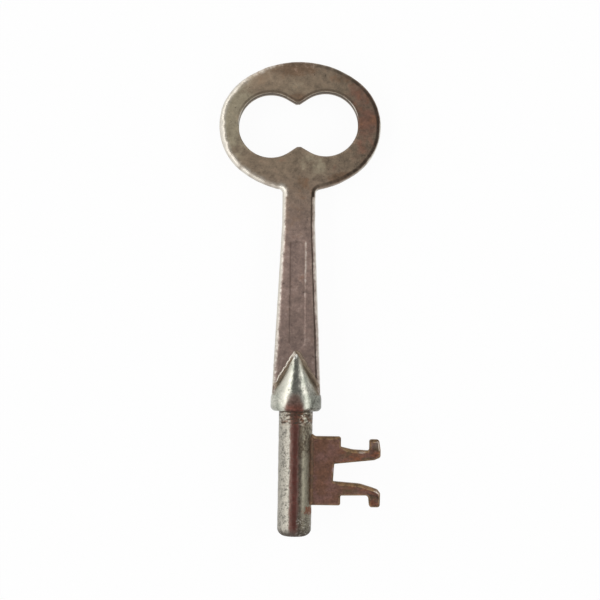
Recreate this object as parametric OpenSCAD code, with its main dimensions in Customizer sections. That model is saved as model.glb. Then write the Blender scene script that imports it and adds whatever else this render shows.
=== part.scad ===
// Skeleton key with a flat bow and stem, a forked shoulder collar, a round post and a hooked bit.
// It lies on its back: the length runs along Y with the bow at +Y, the bit points to +X.

/* [Bow and stem] */
// Width of the bow, across the key
bow_w = 30.4; // [28:0.1:34]
// Length of the bow, along the key
bow_l = 24.4; // [23:0.1:27]
// Radius of the two ends of the bow's oval
bow_end_r = 10.7; // [9.5:0.1:11]
// Distance from the collar's underside to the middle of the bow
bow_y = 53.5; // [48:0.5:60]
// Thickness of the flat plate that makes the bow and the stem
plate_t = 3.2; // [2.4:0.1:4]
// Bevel along the outer edges of the plate
plate_bevel = 0.6; // [0.3:0.05:0.8]
// Width of the stem's parallel neck, next to the bow
neck_w = 6.2; // [5:0.1:7.5]
// Distance from the collar's underside to the end of the parallel neck
neck_y = 35; // [30:0.5:38]
// Width of the stem where it ends in the collar
stem_end_w = 9.2; // [8:0.1:9.4]

/* [Eye of the bow] */
// Radius of each of the eye's two round lobes
lobe_r = 6.1; // [5:0.05:6.5]
// Distance between the centres of the two lobes
lobe_gap = 10.3; // [9:0.1:12]
// Distance between the points of the two cusps
cusp_gap = 8.4; // [7:0.1:9.5]
// Width of the blunt end of each cusp
cusp_w = 0.7; // [0.3:0.1:1.5]
// Direction from a lobe's centre to where a cusp's flank leaves the lobe
cusp_angle = 59; // [50:1:68]
// How far the eye sits to the left of the bow's middle
eye_left = 0.3; // [0:0.1:1]
// How far the eye sits above the bow's middle, away from the stem
eye_up = 0.2; // [0:0.1:1]
// Turn of the eye in the bow, counter-clockwise as seen on the face with the panel
eye_turn = 2.2; // [0:0.1:4]
// Bevel round the eye
eye_bevel = 0.35; // [0.2:0.05:0.6]

/* [Stem panel] */
// Distance from the collar's underside to the middle of the sunken panel
panel_y = 22; // [20:0.5:24]
// Length of the sunken panel
panel_l = 19.6; // [14:0.2:20]
// Width of the sunken panel
panel_w = 2.8; // [2:0.1:3.4]
// Depth of the sunken panel
panel_depth = 0.25; // [0.1:0.05:0.6]

/* [Shoulder collar] */
// Diameter of the collar
collar_d = 9.5; // [9.5:0.1:12]
// Length of the collar's round part, below the fork
collar_l = 3; // [2.6:0.1:5]
// Distance from the collar's underside to the points of the fork's two cheeks
nose_y = 10.9; // [9:0.1:12]
// Bevel round the collar's lower edge
collar_bevel = 0.5; // [0.2:0.05:0.8]
// Thickness of the wall between the post's socket and the stem's slot
web_t = 0.8; // [0.5:0.1:1.2]

/* [Post] */
// Diameter of the post
post_d = 6.35; // [5:0.05:7.5]
// Length of the post below the collar
post_l = 23.2; // [22:0.1:28]
// Radius of the rounded edge at the post's tip
tip_r = 1.6; // [0.6:0.1:2]
// Depth of the bit's slot in the post
slot_depth = 2; // [1:0.1:2.5]

/* [Bit] */
// Gap between the collar's underside and the bit
bit_gap = 4.6; // [3:0.05:6]
// Length of the bit along the post
bit_l = 12.7; // [12:0.1:14]
// Thickness of the bit
bit_t = 2.4; // [1.8:0.1:3]
// Reach of the two hooks from the post's centre line
bit_reach = 15.9; // [15:0.1:18]
// Reach of the solid block from the post's centre line
block_reach = 8.5; // [8:0.1:10]
// Distance from the post's centre line to the wall of the notch
notch_x = 7.2; // [5:0.1:7.6]
// Distance from the bit's top to the notch
notch_y = 5.1; // [4.4:0.1:5.4]
// Width of the notch at its wall
notch_w = 3.25; // [2.4:0.05:3.6]
// Width of each hook
hook_w = 2.1; // [1.6:0.1:2.6]
// Distance from the bit's top to the tip of the upper hook
upper_tip_y = 0.45; // [0:0.05:1.2]
// How far the tip of the lower hook stands past the bit's lower end
lower_tip_out = 0.15; // [0:0.05:0.6]
// Distance from the bit's top to the upper arm's upper edge, at the block
upper_arm_y = 1.9; // [1.6:0.05:2.4]
// Droop of the upper arm's upper edge, from the block to the hook
upper_arm_droop = 0.6; // [0:0.05:0.8]
// Thickness of the upper arm at its hook
upper_arm_w = 1.8; // [1.3:0.05:2]
// Thickness of the lower arm at the notch
lower_arm_w = 2.55; // [1.8:0.05:2.9]
// Fall of the lower arm's upper edge, from the notch to the hook
lower_arm_fall = 1.5; // [0.8:0.05:1.9]
// Rounding of the bit's corners
bit_round = 0.5; // [0.2:0.05:0.6]

/* [Joints] */
// Clearance round the stem, the post and the bit's tongue where they are brazed in
fit_gap = 0.05; // [0.03:0.01:0.1]
// Leg of the braze fillets along the bit
fillet_leg = 0.6; // [0.3:0.05:0.8]
// Width of the braze bead beside the fork's cheeks
bead_w = 0.5; // [0.3:0.05:0.7]
// Height of the braze bead over the stem's face
bead_h = 0.3; // [0.15:0.05:0.4]

/* [Hidden] */
$fn = 96;

collar_r = collar_d / 2;
post_r = post_d / 2;
half_t = plate_t / 2;
half_bit = bit_t / 2;
past = 1;               // how far a cut runs past what it cuts
arc_steps = 5;          // flats on each rounded corner of the bit
mid_y = (bow_y + bow_l / 2 - post_l) / 2;
socket_l = collar_l - web_t;

// The oval is drawn with four arcs: two end arcs, and two side arcs that run smoothly into them.
end_x = bow_w / 2 - bow_end_r;
side_rise = bow_l / 2 - bow_end_r;
side_y = (end_x * end_x - side_rise * side_rise) / (2 * side_rise);
side_r = bow_l / 2 + side_y;

bit_top = -bit_gap;
slot_x = post_r - slot_depth;
hook_x = bit_reach - hook_w;
cone_slope = (collar_r - half_t) / (nose_y - collar_l);
post_root_x = sqrt(post_r * post_r - half_bit * half_bit);

// Puts the key's own frame, with the post along Y and the collar's underside at zero, on the ground.
module placed() {
  translate([0, -mid_y, collar_r]) children();
}

// Turns a profile of (radius, distance along the key) round the key's centre line.
module turned(profile) {
  rotate([-90, 0, 0]) rotate_extrude() polygon(profile);
}

// A flat disc with both of its rims bevelled, centred on the plate.
module bevelled_disc(r) {
  flat = half_t - plate_bevel;
  rotate_extrude() polygon([
    [0, -half_t], [r - plate_bevel, -half_t], [r, -flat],
    [r, flat], [r - plate_bevel, half_t], [0, half_t],
  ]);
}

// A bar that cuts the same bevel off both faces of a plate, along the edge from one point to another.
module edge_bevel(from, to, over) {
  run = to - from;
  side = plate_bevel * sqrt(2);
  for (face = [-1, 1])
    translate([from.x, from.y, face * half_t])
      rotate([0, 0, atan2(run.y, run.x)])
        rotate([45, 0, 0])
          translate([-over, -side / 2, -side / 2])
            cube([norm(run) + 2 * over, side, side]);
}

function unit(v) = v / norm(v);

// Replaces a corner, given as (x, y, radius) between its neighbours, by an arc of short flats.
function corner_arc(before, corner, after) =
  let (
    tip = [corner.x, corner.y],
    u = unit([before.x, before.y] - tip),
    w = unit([after.x, after.y] - tip),
    half = acos(u * w) / 2,
    centre = tip + unit(u + w) * corner.z / sin(half),
    start = tip + u * corner.z / tan(half) - centre,
    turn = sign(cross(w, u)) * (180 - 2 * half)
  )
  corner.z == 0 ? [tip] : [
    for (i = [0:arc_steps])
      let (a = turn * i / arc_steps)
      centre + [start.x * cos(a) - start.y * sin(a), start.x * sin(a) + start.y * cos(a)]
  ];

function rounded(corners) =
  let (n = len(corners))
  [for (i = [0:n - 1]) each corner_arc(corners[(i + n - 1) % n], corners[i], corners[(i + 1) % n])];

// The side arcs end on the lines through the arcs' centres, where they meet the end arcs smoothly.
module bow_oval() {
  join = [end_x, 0] + (bow_end_r + past) * unit([end_x, side_y]);
  for (side = [-1, 1]) translate([side * end_x, 0, 0]) bevelled_disc(bow_end_r);
  intersection() {
    translate([0, side_y, 0]) bevelled_disc(side_r);
    translate([0, -side_y, 0]) bevelled_disc(side_r);
    linear_extrude(plate_t + 2 * past, center = true)
      polygon([
        for (k = [1, -1])
          each [
            [k * end_x, 0], [k * join.x, k * join.y], [k * join.x, k * bow_l],
            [-k * join.x, k * bow_l], [-k * join.x, k * join.y],
          ]
      ]);
  }
}

// The eye: two bevelled lobes, and the space between them with a cusp above and below.
module eye() {
  flank_x = lobe_gap / 2 - lobe_r * cos(cusp_angle);
  flank_y = lobe_r * sin(cusp_angle);
  for (side = [-1, 1])
    translate([side * lobe_gap / 2, 0, 0])
      rotate_extrude() polygon([
        [0, -half_t - past], [lobe_r + eye_bevel + past, -half_t - past], [lobe_r, eye_bevel - half_t],
        [lobe_r, half_t - eye_bevel], [lobe_r + eye_bevel + past, half_t + past], [0, half_t + past],
      ]);
  linear_extrude(plate_t + 2 * past, center = true)
    polygon([
      for (up = [-1, 1])
        each [
          [up * flank_x, -up * flank_y], [up * cusp_w / 2, -up * cusp_gap / 2],
          [-up * cusp_w / 2, -up * cusp_gap / 2], [-up * flank_x, -up * flank_y],
        ]
    ]);
}

// The stem tapers from its parallel neck to the floor of the collar's slot.
module stem() {
  root_y = bow_y - bow_l / 2;
  difference() {
    linear_extrude(plate_t, center = true)
      polygon([
        [-stem_end_w / 2, collar_l], [stem_end_w / 2, collar_l],
        [neck_w / 2, neck_y], [neck_w / 2, root_y + neck_w / 2],
        [-neck_w / 2, root_y + neck_w / 2], [-neck_w / 2, neck_y],
      ]);
    for (side = [-1, 1]) {
      neck = [side * neck_w / 2, neck_y];
      edge_bevel(neck, [neck.x, root_y], 0);
      edge_bevel([side * stem_end_w / 2, collar_l], neck, fit_gap);
    }
  }
}

module bow_blade() {
  color([0.50, 0.46, 0.40])
    placed()
      difference() {
        union() {
          translate([0, bow_y, 0]) bow_oval();
          stem();
        }
        translate([-eye_left, bow_y + eye_up, 0]) rotate([0, 0, eye_turn]) eye();
        translate([-panel_w / 2, panel_y - panel_l / 2, half_t - panel_depth])
          cube([panel_w, panel_l, panel_depth + past]);
      }
}

// The cheeks' cone, down to the collar's round part, with its radius enlarged by the given margin.
module fork_cone(margin) {
  turned([
    [0, collar_l], [collar_r + margin, collar_l],
    [half_t + margin, nose_y], [0, nose_y + half_t / cone_slope],
  ]);
}

module shoulder_collar() {
  slot = plate_t + 2 * fit_gap;
  color([0.72, 0.72, 0.68])
    placed()
      difference() {
        turned([
          [0, 0], [collar_r - collar_bevel, 0], [collar_r, collar_bevel],
          [collar_r, collar_l], [half_t, nose_y], [0, nose_y],
        ]);
        translate([-collar_r - past, collar_l, -slot / 2])
          cube([collar_d + 2 * past, nose_y, slot]);
        turned([[0, -past], [post_r + fit_gap, -past], [post_r + fit_gap, socket_l], [0, socket_l]]);
      }
}

// The post, from the floor of its socket to its rounded tip, with the slot for the bit's tongue.
module post() {
  slot = bit_t + 2 * fit_gap;
  color([0.66, 0.64, 0.58])
    placed()
      difference() {
        rotate([90, 0, 0])
          rotate_extrude()
            union() {
              translate([0, -socket_l]) square([post_r, post_l + socket_l - tip_r]);
              translate([0, post_l - tip_r]) square([post_r - tip_r, tip_r]);
              intersection() {
                translate([post_r - tip_r, post_l - tip_r]) circle(tip_r);
                translate([post_r - tip_r, post_l - tip_r]) square(tip_r);
              }
            }
        translate([slot_x, bit_top - bit_l, -slot / 2])
          cube([post_r, bit_l, slot]);
      }
}

// Corners of the bit, as (x, y, radius), clockwise from its tongue's upper end.
function bit_corners() =
  let (
    upper_end_y = bit_top - upper_arm_y - upper_arm_droop,
    notch_top = bit_top - notch_y,
    notch_end = notch_top - notch_w,
    lower_end_y = notch_end - lower_arm_fall,
    lower_bottom = notch_end - lower_arm_w,
    knee_x = notch_x + (hook_x - notch_x) * 3 / 4,
    bottom = bit_top - bit_l
  ) [
    [slot_x, bit_top, 0],
    [block_reach, bit_top, bit_round],
    [block_reach, bit_top - upper_arm_y, 0],
    [block_reach + (hook_x - block_reach) / 2, upper_end_y, 0],
    [hook_x, upper_end_y, bit_round / 2],
    [hook_x, bit_top - upper_tip_y, bit_round / 2],
    [bit_reach - bit_round / 2, bit_top - upper_tip_y, bit_round],
    [bit_reach, upper_end_y - upper_arm_w + bit_round, bit_round],
    [bit_reach - hook_w / 2, upper_end_y - upper_arm_w, bit_round],
    [notch_x, notch_top, 0],
    [notch_x, notch_end, 0],
    [knee_x, notch_end - lower_arm_fall / 4, 0],
    [bit_reach - bit_round, lower_end_y, bit_round],
    [bit_reach, lower_end_y - bit_round, bit_round / 2],
    [bit_reach, bottom - lower_tip_out, bit_round],
    [hook_x, bottom - lower_tip_out, bit_round],
    [hook_x, lower_bottom, bit_round],
    [block_reach, lower_bottom, 0],
    [block_reach, bottom, bit_round],
    [slot_x, bottom, 0],
  ];

module bit() {
  color([0.45, 0.33, 0.29])
    placed()
      linear_extrude(bit_t, center = true) polygon(rounded(bit_corners()));
}

// Fillets of braze along the bit's root, on the front and on the back.
module bit_braze() {
  top_angle = asin(half_bit / post_r) + fillet_leg / post_r * 180 / PI;
  inside = 0.98;
  color([0.55, 0.40, 0.22])
    placed()
      for (face = [0, 1])
        mirror([0, 0, face])
          translate([0, bit_top, 0])
            rotate([90, 0, 0])
              linear_extrude(bit_l)
                difference() {
                  polygon([
                    [post_root_x - fillet_leg, half_bit],
                    [post_root_x + fillet_leg, half_bit],
                    [inside * post_r * cos(top_angle), inside * post_r * sin(top_angle)],
                  ]);
                  circle(post_r);
                }
}

// Beads of braze where the fork's two cheeks lie on the stem's faces.
module tang_braze() {
  reach_x = stem_end_w / 2 - plate_bevel;
  color([0.52, 0.42, 0.28])
    placed()
      for (face = [0, 1])
        mirror([0, 0, face])
          difference() {
            intersection() {
              fork_cone(bead_w);
              translate([-reach_x, collar_l, half_t])
                cube([2 * reach_x, nose_y, bead_h]);
            }
            fork_cone(0);
          }
}

bow_blade();
shoulder_collar();
post();
bit();
bit_braze();
tang_braze();
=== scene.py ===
import math
from functools import reduce

import bmesh
import bpy
import numpy as np
from mathutils import Matrix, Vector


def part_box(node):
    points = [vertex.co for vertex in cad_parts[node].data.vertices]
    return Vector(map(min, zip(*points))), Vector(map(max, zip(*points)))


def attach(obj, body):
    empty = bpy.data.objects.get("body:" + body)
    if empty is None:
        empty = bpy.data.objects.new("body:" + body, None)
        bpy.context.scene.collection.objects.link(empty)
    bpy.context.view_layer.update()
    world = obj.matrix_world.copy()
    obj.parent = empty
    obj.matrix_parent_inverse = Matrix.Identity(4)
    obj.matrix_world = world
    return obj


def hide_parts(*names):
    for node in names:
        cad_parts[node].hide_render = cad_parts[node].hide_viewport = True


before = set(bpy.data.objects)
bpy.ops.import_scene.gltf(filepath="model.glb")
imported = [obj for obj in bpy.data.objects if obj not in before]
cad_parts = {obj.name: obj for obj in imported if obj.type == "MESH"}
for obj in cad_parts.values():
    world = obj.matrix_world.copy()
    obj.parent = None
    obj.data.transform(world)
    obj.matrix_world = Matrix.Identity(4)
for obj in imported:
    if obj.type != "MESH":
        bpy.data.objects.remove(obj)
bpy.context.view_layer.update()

mm = 0.001

# Points closer than the weld are one, edges shorter than the sliver go, both in millimetres. An edge
# whose faces meet at more than the last value, in degrees, is shaded sharp.
mesher = {"weld": 2e-4, "sliver": 1e-4, "sharpFrom": 50}


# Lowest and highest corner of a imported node, in millimetres.
def boxOf(node):
    low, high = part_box(node)
    return np.array(low) / mm, np.array(high) / mm


collarBox, postBox, plateBox, bitBox = (boxOf(n) for n in ("shoulder_collar", "post", "bow_blade", "bit"))

# The key's own place: x across, y up the key from the collar's underside, z up from the centre line.
key = {
    "centreLine": (collarBox[0][2] + collarBox[1][2]) / 2,
    "underside": collarBox[0][1],
    "halfPlate": (plateBox[1][2] - plateBox[0][2]) / 2,
    "halfBit": (bitBox[1][2] - bitBox[0][2]) / 2,
    "postRadius": (postBox[1][2] - postBox[0][2]) / 2,
    "collarRadius": (collarBox[1][2] - collarBox[0][2]) / 2,
    "postLength": collarBox[0][1] - postBox[0][1],
    "nose": collarBox[1][1] - collarBox[0][1],
    "bitReach": bitBox[1][0],
}


# From the key's own millimetres to the frame's metres.
def toFrame(points):
    return (np.asarray(points) + np.array([0.0, key["underside"], key["centreLine"]])) * mm


# Coordinates of matching shapes put together as points.
def pointsFrom(*parts):
    return np.stack(np.broadcast_arrays(*parts), -1)


# A value kept between 0 and 1.
def clamp(value):
    return np.clip(value, 0, 1)


# Points on a circle between two angles in degrees.
def arc(centre, radius, start, end, count):
    turn = np.radians(np.linspace(start, end, count))
    return pointsFrom(centre[0] + radius * np.cos(turn), centre[1] + radius * np.sin(turn))


# Points on the straight line between two points.
def straight(start, end, count):
    share = np.linspace(0, 1, count)[:, None]
    return np.array(start) * (1 - share) + np.array(end) * share


# A parabola from a start to an end that leaves and arrives along the lines to a corner.
def parabola(start, corner, end, share):
    return start * (1 - share) ** 2 + corner * 2 * share * (1 - share) + end * share ** 2


# Distance along a line at each of its points.
def lengthAlong(line):
    return np.concatenate([[0], np.cumsum(np.linalg.norm(np.diff(line, axis=0), axis=1))])


# Points of a line at the given distances along it.
def pointsAt(line, places):
    return pointsFrom(*(np.interp(places, lengthAlong(line), line[:, k]) for k in (0, 1)))


# An open line whose corners are replaced by short parabolas that start and end at the given distance.
def softened(corners, reach, steps):
    corners = np.array(corners, float)
    share = np.linspace(0, 1, steps)[:, None]
    line = [corners[:1]]
    for before, corner, after in zip(corners, corners[1:], corners[2:]):
        start = corner + (before - corner) * min(0.5, reach / np.linalg.norm(before - corner))
        end = corner + (after - corner) * min(0.5, reach / np.linalg.norm(after - corner))
        line.append(parabola(start, corner, end, share))
    return np.concatenate(line + [corners[-1:]])


# A closed outline of (x, y, radius) corners, each corner an arc, then points at an even step along it.
def roundedOutline(corners, step):
    corners = np.array(corners, float)
    runs = []
    for before, corner, after in zip(np.roll(corners, 1, 0), corners, np.roll(corners, -1, 0)):
        tip, radius = corner[:2], max(corner[2], 1e-3)
        back, ahead = before[:2] - tip, after[:2] - tip
        back, ahead = back / np.linalg.norm(back), ahead / np.linalg.norm(ahead)
        half = math.acos(np.clip(back @ ahead, -1, 1)) / 2
        middle = tip + (back + ahead) / np.linalg.norm(back + ahead) * radius / math.sin(half)
        start, end = tip + back * radius / math.tan(half), tip + ahead * radius / math.tan(half)
        first = math.degrees(math.atan2(*(start - middle)[::-1]))
        last = math.degrees(math.atan2(*(end - middle)[::-1]))
        runs.append(arc(middle, radius, first, first + (last - first + 180) % 360 - 180, 9))
    loop = np.concatenate(runs + [runs[0][:1]])
    length = lengthAlong(loop)[-1]
    return pointsAt(loop, np.linspace(0, length, int(length / step), endpoint=False))


# Unit normals to the left of a line, from the difference between each point's two neighbours.
def leftNormals(line, closed):
    ahead = np.roll(line, -1, 0) - np.roll(line, 1, 0)
    if not closed:
        ahead[0], ahead[-1] = line[1] - line[0], line[-1] - line[-2]
    ahead /= np.linalg.norm(ahead, axis=1)[:, None]
    return pointsFrom(-ahead[:, 1], ahead[:, 0])


# A bell curve, e to minus the power of value by width. A higher power makes its top flatter.
def bell(value, width, power=2):
    return np.exp(-(value / width) ** power)


# A sum of sine waves in seeded directions, each wave shorter and weaker than the one before, about -1 to 1.
def ripple(points, wave, seed, layers=6):
    draw = np.random.default_rng(seed)
    total = np.zeros(points.shape[:-1])
    for layer in range(layers):
        way = draw.normal(size=points.shape[-1])
        way *= 2 * math.pi / (wave * 0.75 ** layer) / np.linalg.norm(way)
        total += np.sin(points @ way + draw.uniform(0, 2 * math.pi)) * 0.8 ** layer
    return total / 2


# A profile of (inset, z) carried along a line: each point moves along the line's normal by the inset.
def carried(line, normals, profile, pushed=0):
    inset = profile[:, 0] + pushed
    x, y = (line[:, k:k + 1] + normals[:, k:k + 1] * inset for k in (0, 1))
    return pointsFrom(x, y, profile[:, 1])


# Radii at their places y turned round the centre line: x is the radius times the cosine, z times the sine.
def turned(radius, y, turns):
    return pointsFrom(radius * np.cos(turns), y, radius * np.sin(turns))


# A grid between two lines of the same number of points: straight across, with a column at each share.
def between(first, second, share):
    share = share[None, :, None]
    return first[:, None, :] * (1 - share) + second[:, None, :] * share


# Four-cornered faces of a grid of points, wrapped round where the grid closes on itself.
def gridFaces(rows, cols, wrapRows, wrapCols):
    row = np.arange(rows if wrapRows else rows - 1)[:, None]
    col = np.arange(cols if wrapCols else cols - 1)[None, :]
    here, above, beside = row * cols, (row + 1) % rows * cols, (col + 1) % cols
    return np.stack([here + col, here + beside, above + beside, above + col], -1).reshape(-1, 4)


# The first and the last row of a grid that is about to be added, as the corners of two end faces.
def endCaps(grids, rows, cols):
    first = sum(grid["at"].shape[0] * grid["at"].shape[1] for grid in grids)
    return [np.arange(cols) + first, np.arange(cols) + first + cols * (rows - 1)]


# Adds an object with the given data to the scene.
def addObject(name, data):
    added = bpy.data.objects.new(name, data)
    bpy.context.collection.objects.link(added)
    return added


# Makes one piece of several grids whose shared edges are welded, hangs it on the root body and hides the
# imported nodes it replaces.
# A grid is a dictionary: its points, where it wraps, and its own marks for the material.
def makePiece(name, grids, nodes, material, caps=()):
    points, faces, marks = [], [], {"edge": [], "brink": []}
    start = 0
    for grid in grids:
        at = grid["at"]
        points.append(at.reshape(-1, 3))
        wraps = (grid.get("wrapRows", False), grid.get("wrapCols", False))
        faces.append(gridFaces(*at.shape[:2], *wraps) + start)
        for mark in marks:
            marks[mark].append(np.broadcast_to(grid.get(mark, 0.0), at.shape[:2]).reshape(-1))
        start += at.shape[0] * at.shape[1]
    faces = np.concatenate(faces).tolist() + [list(cap) for cap in caps]
    mesh = bpy.data.meshes.new(name)
    mesh.from_pydata(toFrame(np.concatenate(points)).tolist(), [], faces)
    for mark, values in marks.items():
        mesh.attributes.new(mark, "FLOAT", "POINT").data.foreach_set("value", np.concatenate(values))
    work = bmesh.new()
    work.from_mesh(mesh)
    bmesh.ops.remove_doubles(work, verts=work.verts, dist=mesher["weld"] * mm)
    bmesh.ops.dissolve_degenerate(work, edges=work.edges, dist=mesher["sliver"] * mm)
    bmesh.ops.triangulate(work, faces=[f for f in work.faces if len(f.verts) > 4])
    bmesh.ops.recalc_face_normals(work, faces=work.faces)
    openEdges = sum(1 for e in work.edges if len(e.link_faces) != 2)
    work.to_mesh(mesh)
    work.free()
    mesh.shade_smooth()
    mesh.set_sharp_from_angle(angle=math.radians(mesher["sharpFrom"]))
    mesh.materials.append(material)
    piece = addObject(name, mesh)
    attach(piece, "root")
    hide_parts(*nodes)
    print(name, len(mesh.polygons), "faces,", openEdges, "open edges")


# A socket that can be used in sums. Each sum adds its Math nodes to the material's tree. The look is a
# dictionary of the material's colours and spots.
class Wire:
    def __init__(self, tree, look, socket=None):
        self.tree, self.look, self.socket = tree, look, socket

    # Adds a node of the given type with values or links for its sockets, and gives one of its outputs.
    # The setting called stops is a colour ramp's.
    def node(self, kind, sockets=None, output=0, **settings):
        made = self.tree.nodes.new("ShaderNode" + kind)
        for name, value in settings.items():
            if name == "stops":
                stops = made.color_ramp.elements
                while len(stops) < len(value):
                    stops.new(1)
                for number, (place, colour) in enumerate(value):
                    stops[number].position, stops[number].color = place, (*colour, 1)
            else:
                setattr(made, name, value)
        for name, value in (sockets or {}).items():
            if isinstance(value, Wire):
                self.tree.links.new(value.socket, made.inputs[name])
            else:
                made.inputs[name].default_value = value
        return Wire(self.tree, self.look, made.outputs[output] if len(made.outputs) else None)

    def math(self, operation, *values):
        return self.node("Math", dict(enumerate(values)), operation=operation)

    def __add__(self, other):
        return self.math("ADD", self, other)

    def __sub__(self, other):
        return self.math("SUBTRACT", self, other)

    def __rsub__(self, other):
        return self.math("SUBTRACT", other, self)

    def __mul__(self, other):
        return self.math("MULTIPLY", self, other)

    __radd__, __rmul__ = __add__, __mul__

    # From 0 at the low value to 1 at the high one, smoothly.
    def rise(self, low, high):
        sockets = {"Value": self, "From Min": low, "From Max": high}
        return self.node("MapRange", sockets, interpolation_type="SMOOTHSTEP")

    # How far this value between 0 and 1 is from its middle, times an amount.
    def sway(self, amount):
        return (self - 0.5) * amount

    # A mark that makePiece stored with the points.
    def mark(self, name):
        return self.node("Attribute", output=2, attribute_name=name)

    # This colour turned into the look's colour of that name where the mask is 1.
    def into(self, name, mask):
        return self.node("Mix", {0: mask, 6: self, 7: (*self.look[name], 1)}, 2, data_type="RGBA")

    # Two colours of the look mixed by a mask: the second where the mask is 1.
    def blend(self, first, second, mask):
        first, second = ((*self.look[name], 1) for name in (first, second))
        return self.node("Mix", {0: mask, 6: first, 7: second}, 2, data_type="RGBA")

    # This colour times a number.
    def dimmed(self, factor):
        return self.node("VectorMath", {"Vector": self, "Scale": factor}, operation="SCALE")

    # One coordinate of these, in millimetres.
    def part(self, axis):
        return self.node("SeparateXYZ", {0: self}, axis) * (1 / mm)

    # This mask with the other one laid over it: 1 where either is 1.
    def over(self, other):
        return 1 - (1 - self) * (1 - other)

    # Noise on these coordinates; the size is that of its largest grains in millimetres.
    def noise(self, size, detail=3.0, rough=0.5, shift=0.0, stretch=(1, 1, 1)):
        sockets = {"Vector": self, "Location": (shift, shift * 0.7, 0), "Scale": stretch}
        moved = self.node("Mapping", sockets)
        sockets = {"Vector": moved, "Scale": 1 / (size * mm), "Detail": detail, "Roughness": rough}
        return self.node("TexNoise", sockets)

    # A soft round spot: its strength at its centre, 0 past its radius, both in the key's own millimetres.
    def spot(self, at, r, squash=(1, 1, 1), strength=1.0):
        moved = self.node("VectorMath", {0: self, 1: tuple(toFrame(at))}, operation="SUBTRACT")
        moved = self.node("VectorMath", {0: moved, 1: squash}, operation="MULTIPLY")
        far = self.node("VectorMath", {0: moved}, 1, operation="LENGTH")
        return (1 - far.rise(0.0, r * mm)) * strength

    # The look's spots of that name, laid over each other.
    def spots(self, name):
        return reduce(Wire.over, [self.spot(**place) for place in self.look[name]])


# Empties the nodes of a material or a world and gives a wire in its tree.
def startNodes(owner, look=None):
    owner.use_nodes = True
    owner.node_tree.nodes.clear()
    return Wire(owner.node_tree, look)


# Makes a material. The recipe is one of the functions below: from a wire and the object's coordinates it
# gives the colour, the roughness, how metallic it is, and bumps as (height, distance in mm).
def makeMaterial(name, recipe, look):
    material = bpy.data.materials.new(name)
    wire = startNodes(material, look)
    colour, rough, metal, bumps = recipe(wire, wire.node("TexCoord", output=3))
    normal = {}
    for height, distance in bumps:
        sockets = {"Height": height, "Distance": distance * mm, "Strength": 1.0, **normal}
        normal = {"Normal": wire.node("Bump", sockets)}
    sockets = {"Base Color": colour, "Roughness": rough, "Metallic": metal, **normal}
    wire.node("OutputMaterial", {"Surface": wire.node("BsdfPrincipled", sockets)})
    return material


bladeLook = {
    "plate": (0.255, 0.192, 0.132),
    "olive": (0.310, 0.265, 0.185),
    "mauve": (0.300, 0.212, 0.178),
    "bareAndHighlight": (0.66, 0.62, 0.55),
    "pink": (0.42, 0.36, 0.33),
    "rust": (0.165, 0.072, 0.045),
    "brown": (0.180, 0.110, 0.065),
    "orange": (0.240, 0.105, 0.045),
    "grimeAndShade": (0.040, 0.027, 0.017),
    "sheenAt": [
        {"at": (-14.0, 57.0, 1.6), "r": 9.0, "squash": (1.4, 0.8, 1), "strength": 0.25},
        {"at": (-9.0, 63.5, 1.6), "r": 6.5, "squash": (0.8, 1.3, 1)},
    ],
    "oliveAt": [
        {"at": (-12.5, 55.0, 1.6), "r": 9.0, "squash": (1, 0.7, 1)},
        {"at": (-0.5, 60.5, 1.6), "r": 4.5, "squash": (0.8, 1, 1), "strength": 0.35},
        {"at": (3.0, 46.0, 1.6), "r": 5.5, "squash": (0.8, 1, 1), "strength": 0.6},
    ],
    "rustAt": [
        {"at": (12.6, 54.6, 1.6), "r": 6.0, "squash": (1.1, 0.8, 1)},
        {"at": (11.0, 60.2, 1.6), "r": 4.6, "strength": 0.8},
        {"at": (12.0, 48.5, 1.6), "r": 4.5, "strength": 0.55},
        {"at": (6.6, 45.6, 1.6), "r": 1.3, "strength": 0.6},
    ],
    "brownAt": [
        {"at": (-1.5, 64.4, 1.6), "r": 6.0, "squash": (0.6, 1.8, 1)},
        {"at": (-7.5, 62.0, 1.6), "r": 3.5, "strength": 0.45},
        {"at": (8.5, 62.5, 1.6), "r": 4.0, "squash": (0.8, 1.5, 1), "strength": 0.8},
        {"at": (-0.3, 58.6, 1.6), "r": 2.8, "strength": 0.9},
        {"at": (0.2, 42.5, 1.6), "r": 3.8, "strength": 0.7},
        {"at": (0.0, 36.5, 1.6), "r": 5.0, "squash": (1, 0.7, 1), "strength": 0.55},
        {"at": (8.0, 43.6, 1.6), "r": 3.5, "squash": (0.7, 1.4, 1)},
    ],
}
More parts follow.
